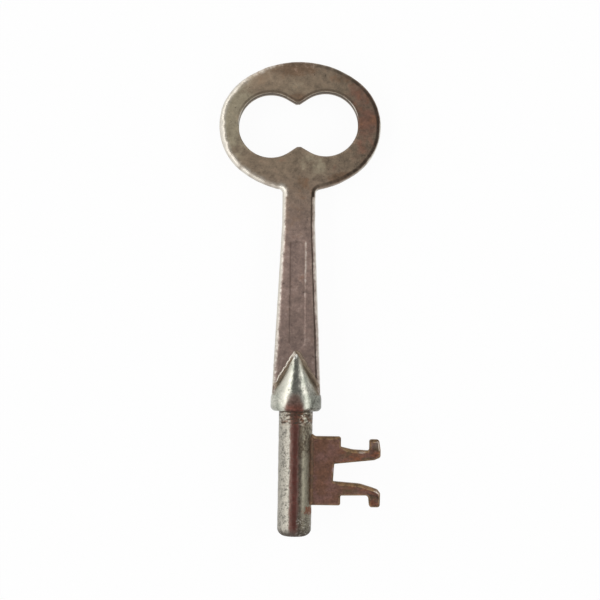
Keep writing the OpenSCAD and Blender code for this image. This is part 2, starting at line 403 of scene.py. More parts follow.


# The plate: tarnish over dull plating, warmer down the stem, rusty at the right, worn bare edges with
# painted highlights, painted sheen at the upper left, and painted shade towards the right and on edges.
def bladeMetal(wire, at):
    edge, brink = wire.mark("edge"), wire.mark("brink")
    cloud = at.noise(3.4, 5.0, 0.62, 0.013)
    patch = at.noise(1.5, 4.0, 0.6, 0.021)
    grain = at.noise(0.55, 3.0, 0.7)
    pits = at.noise(0.8, 2.0, 0.5, 0.03).rise(0.66, 0.76)
    across, along = at.part(0), at.part(1)
    stem = 1 - along.rise(8.0, 26.0)
    olive = (at.spots("oliveAt") + patch.sway(1.3) + cloud.sway(1.2)).rise(0.25, 0.85)
    rust = (at.spots("rustAt") + patch.sway(1.5) + cloud.sway(1.2)).rise(0.1, 1.0)
    brown = (at.spots("brownAt") + patch.sway(1.4) + cloud.sway(1.1)).rise(0.3, 0.85)
    colour = wire.blend("plate", "olive", olive).into("mauve", stem).into("brown", brown * 0.8)
    colour = colour.into("rust", rust * 0.9).into("orange", rust * cloud.rise(0.46, 0.62) * 0.45)
    # Painted sheen lightens the bow's upper left, and painted shade darkens the face towards the right.
    sheen = at.spots("sheenAt") * (0.5 + cloud.sway(0.6))
    colour = colour.dimmed(1 + grain.sway(1.1) + patch.sway(1.3) + sheen - across.rise(2.0, 14.0) * 0.24)
    colour = colour.dimmed(1 - (1 - along.rise(-13.0, 3.0)) * 0.24)
    # Dirt in the pits, and painted shade where the brink mark lies: edges facing right, the panel, the eye's
    # wall.
    colour = colour.into("grimeAndShade", (pits * 0.6).over(brink * (0.9 + patch.sway(0.8))))
    upStem = along.rise(13.0, 19.0) * (1 - along.rise(40.0, 43.0))
    uneven = (grain.sway(0.9) + patch.sway(0.9)) * (1 - across.rise(3.0, 6.0).over(upStem * 0.7) * 0.8)
    # The edge mark paints worn bare metal together with a painted highlight, strongest on edges facing left.
    wornAndLit = (edge + uneven).rise(0.05, 0.95)
    pinkish = (1 - along.rise(-12.0, 0.0)) * (1 - wornAndLit * grain.rise(0.48, 0.58))
    colour = colour.into("bareAndHighlight", wornAndLit).into("pink", wornAndLit * pinkish * 0.55)
    rough = 0.46 + cloud.sway(0.3) + rust * 0.18 - wornAndLit * 0.16 + brink * 0.45
    metal = 0.45 - rust * 0.3 + wornAndLit * 0.55
    return colour, rough, metal, [(cloud, 0.10), (patch, 0.05), (grain, 0.03), (1 - pits, 0.05)]


collarLook = {
    "plate": (0.50, 0.495, 0.43),
    "green": (0.37, 0.385, 0.325),
    "cream": (0.70, 0.68, 0.59),
    "brown": (0.120, 0.062, 0.047),
    "red": (0.150, 0.050, 0.032),
    "dark": (0.05, 0.045, 0.035),
    "groove": (0.190, 0.140, 0.088),
    "bright": (0.85, 0.83, 0.77),
    "tip": [{"at": (-0.3, 10.3, 1.8), "r": 1.0, "squash": (1.3, 1, 1)}],
    "dome": [{"at": (-0.25, -0.1, 4.6), "r": 3.6, "squash": (1.35, 0.66, 0.3)}],
}


# The collar: smooth worn plating, a tarnished patch at the front of its foot, mottled on the right.
def collarMetal(wire, at):
    cloud = at.noise(2.0, 5.0, 0.6)
    patch = at.noise(0.9, 4.0, 0.65, 0.04)
    grain = at.noise(0.4, 3.0, 0.7, 0.02)
    pits = at.noise(0.6, 2.0, 0.5, 0.05).rise(0.64, 0.74)
    right = (at.part(0) + patch.sway(2.5)).rise(1.9, 3.8)
    dome = (at.spots("dome") + patch.sway(0.35) + cloud.sway(0.3)).rise(0.06, 0.56)
    groove = wire.mark("brink")
    colour = wire.blend("plate", "green", cloud.rise(0.35, 0.68))
    colour = colour.dimmed(1 + grain.sway(1.0) + patch.sway(0.9) - right * 0.3)
    # Painted highlight: a cream belt down the left flank. Painted dark reflection: a dimmer band along the
    # middle.
    across = at.part(0) + patch.sway(0.6)
    belt = across.rise(-3.2, -2.0) * (1 - across.rise(-1.2, -0.8))
    colour = colour.into("cream", belt * 0.6)
    colour = colour.dimmed(1 - across.rise(-0.9, -0.4) * (1 - across.rise(0.6, 1.1)) * 0.22)
    colour = colour.into("dark", right * (patch + grain - 0.5).rise(0.42, 0.60) * 0.8)
    # Painted shade in the groove where a cheek meets the braze.
    colour = colour.into("groove", groove * (0.85 + patch.sway(1.2)))
    # The tip spot is a painted highlight at the nose.
    tip = at.spots("tip").rise(0.1, 0.5) * grain.rise(0.36, 0.52)
    speckles = (1 - at.part(1).rise(-20.6, -19.9)) * (patch + grain - 0.5).rise(0.52, 0.62)
    colour = colour.into("bright", tip).into("dark", speckles * 0.5).into("brown", dome * 0.9)
    colour = colour.into("red", dome * (1 - at.part(1).rise(-20.9, -19.2)) * 0.85)
    colour = colour.dimmed(1 + (patch.sway(2.0) + grain.sway(2.0)) * dome)
    colour = colour.into("dark", pits * (0.35 + right * 0.5))
    rough = 0.23 + cloud.sway(0.14) + dome * 0.2 + right * 0.15 + groove * 0.25
    metal = 1.0 - dome * 0.5 - right * 0.2 - tip * 0.9
    return colour, rough, metal, [(cloud, 0.045), (patch, 0.015), (grain, 0.01), (1 - pits, 0.03)]


postLook = {
    "plate": (0.40, 0.375, 0.32),
    "green": (0.36, 0.335, 0.255),
    "red": (0.165, 0.068, 0.052),
    "deep": (0.105, 0.028, 0.020),
    "bright": (0.62, 0.58, 0.48),
    "darkReflection": (0.078, 0.064, 0.048),
    "umber": (0.190, 0.140, 0.092),
    "rust": (0.19, 0.072, 0.032),
    "dark": (0.055, 0.040, 0.028),
    "patch": [{"at": (2.7, -18.35, 1.8), "r": 1.9, "squash": (0.9, 1.3, 0.35)}],
}


# 1 within a distance of zero, both in millimetres, with a soft edge.
def stripe(value, width):
    return value.math("ABSOLUTE", value).rise(width, width * 0.5)


# The post: worn steel with small dark pits, a red-brown band along its front that is a painted dark
# reflection, rust below the collar.
def postMetal(wire, at):
    cloud = at.noise(1.8, 5.0, 0.65)
    patch = at.noise(0.9, 4.0, 0.7, 0.07, (1, 0.7, 1))
    grain = at.noise(0.42, 4.0, 0.8, 0.02, (0.8, 1.2, 1))
    low = at.part(1) - key["underside"]
    side = at.part(0) + cloud.sway(0.7) + patch.sway(0.5)
    # Painted dark reflection: the red-brown band, its deep core and the dark stripe at its right follow the
    # dim sky overhead.
    band = side.rise(-1.2, -0.75) * (1 - side.rise(0.35, 0.95))
    core = side.rise(-0.7, -0.15) * (1 - side.rise(0.2, 0.6))
    darkReflection = side.rise(0.3, 0.75) * (1 - side.rise(1.0, 1.7))
    colour = wire.blend("plate", "green", side.rise(0.5, 1.4))
    right = side.rise(0.4, 1.2)
    fine = at.noise(0.36, 3.0, 0.75, 0.05, (1, 0.5, 1))
    uneven = grain.sway(3.8 - right * 2.8) + patch.sway(2.4 - right)
    colour = colour.dimmed(1 + uneven + right * (fine.sway(1.5) - 0.14))
    colour = colour.into("darkReflection", darkReflection * (0.92 + cloud.sway(1.2) + grain.sway(1.8)))
    upper = (low + 9.5 + cloud.sway(6)).rise(0.0, 3.0)
    colour = colour.into("umber", right * upper * patch.rise(0.35, 0.6) * 0.5)
    colour = colour.dimmed(1 - (1 - side.rise(-3.0, -2.1)) * 0.16)
    specks = side.rise(0.3, 0.9) * (fine * 0.7 + patch * 0.5 + upper * 0.05).rise(0.62, 0.70)
    colour = colour.into("dark", specks * (0.42 + upper * 0.38))
    pits = (grain * 0.8 + patch * 0.4).rise(0.64, 0.74)
    colour = colour.into("dark", pits * (0.55 - right * 0.3))
    colour = colour.into("red", band * (0.88 + grain.sway(1.2)))
    colour = colour.into("deep", core * (0.6 + cloud.sway(1.5) + (patch - 0.5)))
    nearTop = low.rise(-2.9, -2.0)
    ring = nearTop * (patch + cloud).rise(0.92, 1.12)
    soot = low.rise(-2.5, -2.1) * (grain + patch).rise(1.0, 1.10)
    broken = at.noise(0.9, 3.0, 0.7, 0.09, (1, 2.5, 1))
    dashes = stripe(low + 2.15 + cloud.sway(0.8), 0.2) * patch.rise(0.42, 0.52)
    dashes = dashes.over(stripe(low + 0.7 + patch.sway(0.9), 0.2) * broken.rise(0.46, 0.54))
    dashes = dashes.over(stripe(low + 1.4 + cloud.sway(0.9), 0.16) * broken.rise(0.50, 0.56))
    dashes = dashes.over(low.rise(-0.35, -0.1))
    spot = at.spots("patch")
    spot = (spot + spot.rise(0.0, 0.3) * (patch.sway(2.6) + grain.sway(2.0))).rise(0.35, 0.7)
    tip = 1 - (low + key["postLength"] + patch.sway(1.6)).rise(0.4, 1.9)
    colour = colour.into("bright", nearTop * (1 - broken).rise(0.50, 0.60) * (1 - band) * 0.8)
    colour = colour.into("rust", (ring * 0.7).over(spot))
    colour = colour.into("dark", (dashes * 0.85).over(soot * 0.75).over(tip * 0.9))
    foot = side.rise(0.1, 0.9) * (1 - (low + patch.sway(4)).rise(-20.6, -17.6))
    colour = colour.into("dark", foot * (grain + patch - 0.5).rise(0.38, 0.52) * 0.85)
    flecks = (grain + patch * 0.5).rise(0.79, 0.86) * foot
    flakes = (ring * (1 - patch)).rise(0.45, 0.6) * grain.rise(0.56, 0.64)
    colour = colour.into("plate", flecks.over(flakes))
    rough = 0.34 + cloud.sway(0.3) + pits * 0.2 + ring * 0.15 + spot * 0.3 + tip * 0.4
    metal = 0.95 - spot * 0.75 - ring * 0.35 - band * 0.3 - tip * 0.6
    return colour, rough, metal, [(cloud, 0.07), (patch, 0.05), (grain, 0.03), (1 - pits, 0.02)]


bitLook = {
    "brown": (0.165, 0.080, 0.050),
    "mauve": (0.180, 0.092, 0.072),
    "orange": (0.290, 0.095, 0.035),
    "olive": (0.115, 0.080, 0.040),
    "wall": (0.180, 0.105, 0.045),
    "gold": (0.380, 0.235, 0.105),
    "grey": (0.195, 0.160, 0.135),
    "pink": (0.330, 0.230, 0.230),
    "bareAndHighlight": (0.85, 0.76, 0.68),
    "dark": (0.05, 0.025, 0.016),
    "greyAt": [{"at": (14.6, -5.4, 1.2), "r": 1.9, "squash": (0.8, 1, 1)}],
    "brightAt": [
        {"at": (12.2, -7.1, 1.2), "r": 1.3, "strength": 0.8},
        {"at": (15.8, -6.0, 1.2), "r": 1.7},
        {"at": (15.6, -14.5, 1.2), "r": 1.4},
    ],
    "pinkAt": [{"at": (7.1, -10.8, 1.0), "r": 0.55, "squash": (1, 0.6, 0.6)}],
}


# The bit: even brown tarnish on the block, orange rust on the arms, gold-brown walls, painted highlights on
# edges.
def bitMetal(wire, at):
    edge, wall = wire.mark("edge"), wire.mark("brink")
    cloud = at.noise(2.4, 5.0, 0.6)
    patch = at.noise(1.0, 4.0, 0.65, 0.06)
    grain = at.noise(0.42, 3.0, 0.7, 0.04)
    arms = at.part(0).rise(7.6, 9.8)
    colour = wire.blend("brown", "mauve", cloud.rise(0.38, 0.62))
    streak = at.noise(1.4, 4.0, 0.6, 0.03, (0.45, 1, 1))
    colour = colour.into("orange", (arms * 0.9 + 0.10) * streak.rise(0.47, 0.62) * 0.6)
    colour = colour.into("olive", arms * (1 - streak.rise(0.38, 0.52)) * 0.8)
    hooks = at.part(0).rise(13.0, 14.6)
    colour = colour.dimmed(1 + grain.sway(1.6) + patch.sway(1.2 + hooks) - hooks * 0.22)
    colour = colour.into("grey", at.spots("greyAt") * patch.rise(0.35, 0.55) * 0.8)
    colour = colour.into("wall", wall * 0.9).dimmed(1 + wall * patch.sway(2.5))
    uneven = grain.sway(0.8) + patch.sway(1.8)
    # Painted highlights: a gold line along lit bevel crests and bright spots at the brightAt places.
    colour = colour.into("gold", edge * (uneven + 1).rise(0.75, 1.1) * 0.85)
    bright = edge * (at.spots("brightAt") + uneven * 0.7).rise(0.2, 0.6)
    colour = colour.into("bareAndHighlight", bright * 0.8)
    pits = at.noise(0.7, 2.0, 0.5, 0.09).rise(0.68, 0.78)
    # The pink spot is a painted highlight on the notch's wall.
    colour = colour.into("pink", at.spots("pinkAt").rise(0.2, 0.8) * 0.8).into("dark", pits * 0.5)
    rough, metal = 0.40 + cloud.sway(0.3) - bright * 0.1, 0.3 + bright * 0.6
    return colour, rough, metal, [(cloud, 0.08), (patch, 0.05), (grain, 0.02), (1 - pits, 0.04)]


bitBrazeLook = {"main": (0.130, 0.068, 0.036), "other": (0.085, 0.052, 0.032), "dark": (0.05, 0.03, 0.018),
                "bright": (0.34, 0.20, 0.09), "deep": (0.05, 0.03, 0.018), "metal": 0.6}
tangBrazeLook = {"main": (0.250, 0.185, 0.130), "other": (0.190, 0.140, 0.095), "dark": (0.235, 0.178, 0.118),
                 "bright": (0.74, 0.67, 0.58), "deep": (0.085, 0.055, 0.034), "metal": 0.2}


# Braze: dull brown metal with a painted highlight on its crest and painted shade in its valley where the
# marks say so.
def brazeMetal(wire, at):
    edge, brink = wire.mark("edge"), wire.mark("brink")
    cloud = at.noise(1.7, 5.0, 0.7)
    grain = at.noise(0.4, 3.0, 0.7, 0.03)
    colour = wire.blend("main", "other", cloud.rise(0.4, 0.6)).dimmed(1 + grain.sway(2.0))
    colour = colour.into("dark", brink.rise(0.0, 0.5) * (0.8 + cloud.sway(1.5) + grain.sway(1.5)))
    colour = colour.into("deep", brink.rise(0.45, 0.9) * (0.75 + cloud.sway(2.0)))
    colour = colour.into("bright", (edge + cloud.sway(0.6) + grain.sway(0.5)).rise(0.22, 0.5))
    return colour, 0.42 + cloud.sway(0.3), wire.look["metal"], [(cloud, 0.06), (grain, 0.02)]


bladeShape = {
    "bowWidth": 30.4,
    "bowLength": 24.4,
    "endRadius": 10.7,
    "bowMiddle": 53.5,
    "bevel": 0.6,
    "edgeSoftness": 0.48,
    "rollWidth": 0.95,
    "rollDrop": 0.09,
    "footWidth": 9.1,
    "footStart": 3.0,
    "neckWidth": 6.2,
    "neckEnd": 35.0,
    "innerCorner": 1.0,
    "step": 0.2,
    "eyeCentre": (-0.3, 53.7),
    "eyeTurn": 2.2,
    "lobeRadius": 6.1,
    "lobeGap": 10.3,
    "cuspGap": 8.4,
    "cuspWidth": 0.7,
    "cuspAngle": 59.0,
    "eyeBevel": 0.32,
    "panelMiddle": 22.0,
    "panelLength": 19.6,
    "panelWidth": 2.8,
    "panelDepth": 0.25,
    "panelCorner": 0.5,
    "panelSoftness": 0.3,
    "panelSteps": 45,
    "sideSteps": 7,
    "ringSteps": 26,
    "unevenWaves": [(11.0, 21, 0.018), (2.6, 22, 0.006)],
    "nicks": [
        (178.5, 0.28, 0.5), (183.0, 0.2, 0.3), (186.0, 0.3, 0.6), (190.0, 0.22, 0.35), (194.0, 0.3, 0.5),
    ],
}


# Right half of the plate's outline, from the stem's foot to the top of the bow: two straight runs, a
# small fillet, then arcs of the oval. Also gives the number of the point halfway round the fillet.
def plateOutline(s):
    endX, rise = s["bowWidth"] / 2 - s["endRadius"], s["bowLength"] / 2 - s["endRadius"]
    sideY = (endX ** 2 - rise ** 2) / (2 * rise)
    sideRadius = s["bowLength"] / 2 + sideY
    joinTurn = math.degrees(math.atan2(sideY, endX))
    neck, fillet = s["neckWidth"] / 2, s["innerCorner"]
    filletX, lowCentre = neck + fillet, s["bowMiddle"] + sideY
    filletY = lowCentre - math.sqrt((sideRadius + fillet) ** 2 - filletX ** 2)
    meet = math.degrees(math.atan2(filletY - lowCentre, filletX))
    foot = (s["footWidth"] / 2, s["footStart"])
    runs = [
        straight(foot, (neck, s["neckEnd"]), int(32 / s["step"])),
        straight((neck, s["neckEnd"]), (neck, filletY), int(6 / s["step"])),
        arc((filletX, filletY), fillet, 180, 180 + meet, 11),
        arc((0, lowCentre), sideRadius, meet, -joinTurn, int(8 / s["step"])),
        arc((endX, s["bowMiddle"]), s["endRadius"], -joinTurn, joinTurn, int(20 / s["step"])),
        arc((0, s["bowMiddle"] - sideY), sideRadius, joinTurn, 90, int(12 / s["step"])),
    ]
    line = np.concatenate([runs[0]] + [run[1:] for run in runs[1:]])
    return line, len(runs[0]) + len(runs[1]) - 2 + 5


# Distance from the eye's middle to its wall in each direction: the far side of a lobe's circle, or near
# the cusps the straight flank that leaves the lobe, cut short by the cusp's blunt end.
def eyeRadius(turn, s):
    turn = turn - math.radians(s["eyeTurn"])
    across, up = np.abs(np.cos(turn)), np.abs(np.sin(turn))
    lobeX = s["lobeGap"] / 2
    lobe = lobeX * across + np.sqrt(s["lobeRadius"] ** 2 - (lobeX * up) ** 2)
    lean = math.radians(s["cuspAngle"])
    flankX, flankY = lobeX - s["lobeRadius"] * math.cos(lean), s["lobeRadius"] * math.sin(lean)
    tipX, tipY = s["cuspWidth"] / 2, s["cuspGap"] / 2
    wayX, wayY = flankX - tipX, flankY - tipY
    flank = (tipX * wayY - tipY * wayX) / np.minimum(across * wayY - up * wayX, -1e-6)
    tip = tipY / np.maximum(up, 1e-6)
    return np.where(np.arctan2(up, across) < math.atan2(flankY, flankX), lobe, np.maximum(flank, tip))


# 1 inside a rectangle with rounded corners and 0 outside, from the signed distance to its wall.
def insideRectangle(x, y, halfX, halfY, corner, soft):
    farX, farY = np.abs(x) - halfX + corner, np.abs(y) - halfY + corner
    outside = np.hypot(np.maximum(farX, 0), np.maximum(farY, 0))
    distance = outside + np.minimum(np.maximum(farX, farY), 0) - corner
    share = clamp(0.5 - distance / soft)
    return share * share * (3 - 2 * share)


# The plate. Its rim is a profile of two bevels carried along the outline. Its two faces are grids from
# rim to rim on the stem, then rings from the rim's inner line to the eye's own rim on the bow. Wear and a
# painted highlight grow where an edge faces left, painted shade where it faces right; both are marks for
# the material.
def makeBlade(s, material):
    h, b = key["halfPlate"], s["bevel"]
    half, junction = plateOutline(s)
    line = np.concatenate([half, (half * [-1, 1])[::-1][1:]])
    normals = leftNormals(line, False)
    roll, drop = b + s["rollWidth"], s["rollDrop"]
    corners = [(roll, h), (b, h - drop), (0, h - b), (0, b - h), (b, drop - h), (roll, -h)]
    profile = softened(corners, s["edgeSoftness"], 9)

    # The bevel's width wanders a little, and nicks push its outer edge in.
    high = bell(np.abs(profile[:, 1]) - (h - b / 2), 0.45)
    wander = ripple(line, 7.0, 11) * 0.05 + ripple(line, 1.3, 12) * 0.015
    turn = np.degrees(np.arctan2(line[:, 1] - s["bowMiddle"], line[:, 0])) % 360
    bites = np.zeros(len(line))
    for where, depth, width in s["nicks"]:
        away = (turn - where) / 57.3 * s["bowWidth"] / 2
        bites += depth * bell(away, width) * (line[:, 1] > s["neckEnd"])
    upper = profile[:, 1] > 0
    pushed = (profile[:, 0] > 0.02) * (profile[:, 0] < b + 0.2) * wander[:, None]
    pushed = pushed + bites[:, None] * (high * upper)[None, :]
    rim = carried(line, normals, profile, pushed)
    outX, outY = -normals[:, 0], -normals[:, 1]
    patchy = ripple(line, 3.0, 13, 8)
    onStem = line[:, 1] < s["neckEnd"] + 5
    towardStem = 0.05 * np.maximum(-outY, 0)
    # Worn bare metal and a painted highlight: edges facing left, the stem's edges, a line at the lower right.
    wornAndLitSide = clamp(0.42 - 0.7 * outX - 0.3 * np.maximum(outY, 0) - towardStem + 0.2 * patchy)
    wornAndLitSide = np.where(onStem & (outX > 0), 0.55 + 0.15 * patchy, wornAndLitSide)
    nearCollar = clamp((13 - line[:, 1]) / 6)
    flecks = 0.5 + 0.55 * ripple(line, 0.9, 14) + 0.3 * patchy
    wornAndLitSide = np.where(onStem & (outX < 0), 1 - nearCollar + nearCollar * flecks, wornAndLitSide)
    # Painted shade: a dark line along the bevels of edges that face right.
    darkSide = 0.2 + 0.85 * outX + 0.1 * outY - 0.2 * patchy
    darkSide = clamp(darkSide + 0.2 * clamp(3 * outX) * clamp(-outY))
    leftward = clamp(-1.3 * outX - 0.1)
    lowRight = bell(np.degrees(np.arctan2(outY, outX)) + 18, 30)
    rubbedAndLit = clamp(np.where(onStem, 0.85, 0.2 + 0.65 * leftward + 0.75 * lowRight) + 0.15 * patchy)
    inset, down = profile[:, 0], h - np.abs(profile[:, 1])
    wornAndLitWidth = b + np.where(onStem, 0.15, 0.6)[:, None]
    wornAndLit = clamp(1.2 - inset / wornAndLitWidth) * (1 - 0.4 * clamp((down - b) / 0.3))
    rubbedAndLitLine = bell(inset, 0.26, 4)
    edgeMark = np.maximum(wornAndLitSide[:, None] * wornAndLit, rubbedAndLit[:, None] * rubbedAndLitLine)
    darkAt = np.where(onStem, b + 0.12, 0.85 * b)[:, None]
    darkWidth = np.where(onStem, 0.15, 0.34)[:, None]
    brinkMark = darkSide[:, None] * bell(inset - darkAt, darkWidth, 4)
    edgeMark = edgeMark * (1 - 0.85 * brinkMark)

    # The stem's two faces, with the sunken panel in the front one. Columns crowd in the middle.
    edgeX, stemY = rim[:junction + 1, 0, 0:1], rim[:junction + 1, 0, 1:2]
    middleX = s["panelWidth"] / 2 + 0.2
    middle = np.linspace(-middleX, middleX, s["panelSteps"])
    outer = np.linspace(0, 1, s["sideSteps"])[:-1]
    left = -edgeX * (1 - outer) - middleX * outer
    columns = np.concatenate([left, middle + 0 * edgeX, -left[:, ::-1]], 1)
    panel = (s["panelWidth"] / 2, s["panelLength"] / 2, s["panelCorner"], s["panelSoftness"])
    sunk = insideRectangle(columns, stemY - s["panelMiddle"], *panel)
    front = pointsFrom(columns, stemY, h - s["panelDepth"] * sunk)
    back = pointsFrom(columns, stemY, -h)
    # Painted shade on the panel's left wall and sunken floor, a painted highlight along its right wall.
    leftWall = bell(columns + s["panelWidth"] / 2 + 0.05, 0.16)
    inPanel = clamp((s["panelLength"] / 2 - np.abs(stemY - s["panelMiddle"])) / 0.5)
    panelShade = inPanel * leftWall * 0.5 + sunk * 0.10
    rightWall = bell(columns - s["panelWidth"] / 2 - 0.02, 0.2)
    upward = np.clip((stemY - s["panelMiddle"] + 5) / 8, 0.25, 1)
    panelHighlight = inPanel * rightWall * upward * (0.8 + 0.35 * ripple(stemY[..., None], 2.5, 23))

    # The bow's ring: from the rim's inner line, closed by a chord over the stem, in to the eye's own rim.
    upperPart = slice(junction, len(line) - junction)
    eye = np.array(s["eyeCentre"])
    rings = {
        1: np.concatenate([rim[upperPart, 0], front[-1, 1:-1]]),
        -1: np.concatenate([rim[upperPart, -1], back[-1, 1:-1]]),
    }
    turnTo = np.arctan2(rings[1][:, 1] - eye[1], rings[1][:, 0] - eye[0])
    wall = eye + eyeRadius(turnTo, s)[:, None] * pointsFrom(np.cos(turnTo), np.sin(turnTo))
    e = s["eyeBevel"]
    eyeProfile = softened([
        (e + 0.5, h), (e + 0.2, h), (e, h), (e / 2, h - e / 2), (0, h - e), (0, h - e - 0.3),
        (0, e - h), (e, -h), (e + 0.5, -h),
    ], 0.09, 5)
    intoMetal = -leftNormals(wall, True)
    eyeRim = carried(wall, intoMetal, eyeProfile)

    # Marks from the wall's upper edge: painted shade on the roll above, a painted highlight with painted
    # glints on the edge, and on the wall painted shade over grimy unplated metal.
    eyeAway = eyeProfile[:, 0] - np.maximum(h - np.abs(eyeProfile[:, 1]) - e, 0)
    upperSide = clamp(intoMetal[:, 1] * 1.6 - 0.1)
    facing = np.degrees(np.arctan2(intoMetal[:, 1], intoMetal[:, 0]))
    glint = bell(facing - 170, 16) + bell(facing - 28, 15)
    eyeEdge = (0.35 * upperSide + glint)[:, None] * bell(eyeAway - 0.02, 0.11)
    eyeWall = np.maximum(upperSide[:, None] * 0.6 * bell(eyeAway - 0.34, 0.22, 4), clamp(-eyeAway / 0.1 - 1))

    # The grid between the rim's two ends is the foot's end face, inside the collar's fork.
    grids = [
        {"at": rim, "edge": edgeMark, "brink": brinkMark},
        {"at": front, "brink": panelShade, "edge": clamp(panelHighlight) * 0.55},
        {"at": back},
        {"at": eyeRim, "wrapRows": True, "edge": eyeEdge, "brink": eyeWall},
        {"at": between(rim[-1], rim[0], (columns[0] / columns[0, -1] + 1) / 2)},
    ]
    for side, column in ((1, 0), (-1, -1)):
        ring = between(rings[side], eyeRim[:, column], np.linspace(0, 1, s["ringSteps"]))
        grids.append({"at": ring, "wrapRows": True})

    # Both faces are a little uneven, as stamped plate is.
    for grid in grids:
        at = grid["at"]
        uneven = sum(ripple(at[..., :2], wave, seed) * depth for wave, seed, depth in s["unevenWaves"])
        at[..., 2] -= np.abs(uneven) * np.sign(at[..., 2]) * np.abs(at[..., 2]) / h
    makePiece("bowBlade", grids, ["bow_blade"], material)


collarShape = {
    "length": 3.0,
    "lowerRound": 0.55,
    "socketDepth": 2.2,
    "across": 49,
    "turns": 61,
    "tipHalf": 0.12,
    "shoulderSoftness": 0.9,
    "swell": 0.12,
    "unevenWaves": [(3.5, 31, 0.03), (1.1, 32, 0.008)],
}


# Half the width of the arch that a cheek makes on the plate, at a distance up the key: level below the
# fork, a straight line to the nose above it, and half a parabola's bend between the two.
def archHalf(y, s):
    foot = math.sqrt(key["collarRadius"] ** 2 - key["halfPlate"] ** 2)
    soft, up = s["shoulderSoftness"], y - s["length"]
    bend = (np.clip(up, -soft, soft) + soft) ** 2 / (4 * soft)
    return foot - (foot - s["tipHalf"]) / (key["nose"] - s["length"]) * (bend + np.maximum(up - soft, 0))


# The collar: rings round the centre line up to the fork, then two cheeks that stand over the plate's
# faces. A cheek's radius is that of the ring through the arch's two feet on the plate: the root of the
# squares' sum of half the arch and half the plate.
def makeCollar(s, material):
    radius, nose, h = key["collarRadius"], key["nose"], key["halfPlate"]
    length, low = s["length"], s["lowerRound"]
    socket = key["postRadius"] + 0.02
    turns, across = s["turns"], s["across"]
    forkHalf = archHalf(length, s)
    forkRadius = math.hypot(h, forkHalf)
    lean = math.asin(h / forkRadius)
    frontTurns = np.linspace(lean, math.pi - lean, across)
    heights = np.linspace(h, -h, 9)[1:-1]
    leftTurns = math.pi - np.arcsin(heights / forkRadius)
    rightTurns = np.arcsin(heights[::-1] / forkRadius)
    ringTurns = np.concatenate([frontTurns, leftTurns, frontTurns + math.pi, rightTurns])
    shoulder = np.linspace(length - s["shoulderSoftness"], length, 9)
    profile = softened([(socket, 0.0), (radius - low, 0.0), (radius, low), (radius, shoulder[0])], 0.3, 7)
    profile = np.concatenate([profile, pointsFrom(np.hypot(h, archHalf(shoulder, s)), shoulder)[1:]])
    inner = softened([(socket, 0.0), (socket, s["socketDepth"]), (0.0, s["socketDepth"])], 0.1, 4)
    grids = [{"at": turned(run[:, :1], run[:, 1:], ringTurns), "wrapCols": True} for run in (profile, inner)]

    # The slot's floor spans the fork: half its width is the root of the fork's radius squared less z squared.
    slotZ = np.linspace(h, -h, 9)[:, None]
    reach = np.linspace(1, -1, across)[None, :]
    grids.append({"at": pointsFrom(np.sqrt(forkRadius ** 2 - slotZ ** 2) * reach, length, slotZ)})

    share = np.linspace(0, 1, turns)[:, None] ** 1.3
    coneY = length + (nose - length) * share
    halfArch = archHalf(coneY, s)
    edgeTurn = np.arctan2(h, halfArch)
    along = np.linspace(0, 1, across)[None, :]
    turn = edgeTurn + (math.pi - 2 * edgeTurn) * along
    swell = s["swell"] * np.sin(math.pi * share) ** 2 * np.sin(math.pi * along)
    for side in (1, -1):
        cheek = turned(np.hypot(h, halfArch) + swell, coneY, turn)
        cheek[..., 2] = side * np.maximum(cheek[..., 2], h)
        right = (along < 0.5) == (side > 0)
        fade = clamp((nose - coneY) / np.where(right, 2.0, 5.0))
        # The groove mark is painted shade along the cheek's edge, deeper on the right, fading towards the
        # nose.
        groove = bell(halfArch - np.abs(cheek[..., 0]), 0.62) * fade * np.where(right, 1, 0.7)
        seat = pointsFrom(halfArch * reach, coneY, side * h)
        end = between(cheek[-1], seat[-1], np.linspace(0, 1, 2))
        grids += [{"at": cheek, "brink": groove}, {"at": seat}, {"at": end}]
    for grid in grids:
        at = grid["at"]
        uneven = sum(ripple(at, wave, seed) * depth for wave, seed, depth in s["unevenWaves"])
        scale = 1 - np.abs(uneven) / radius * (at[..., 1] > 0.05) * (np.abs(at[..., 2]) > h + 0.05)
        at[..., 0] *= scale
        at[..., 2] *= scale
    makePiece("shoulderCollar", grids, ["shoulder_collar"], material)


postShape = {
    "tipRadius": 1.6,
    "socketDepth": 2.15,
    "around": 180,
    "along": 240,
    "pits": 320,
    "seed": 5,
    "pitSizes": (0.10, 0.34),
    "pitDepths": (0.01, 0.045),
    "wear": 0.03,
    "groove": {"at": -2.35, "width": 0.12, "depth": 0.05},
}


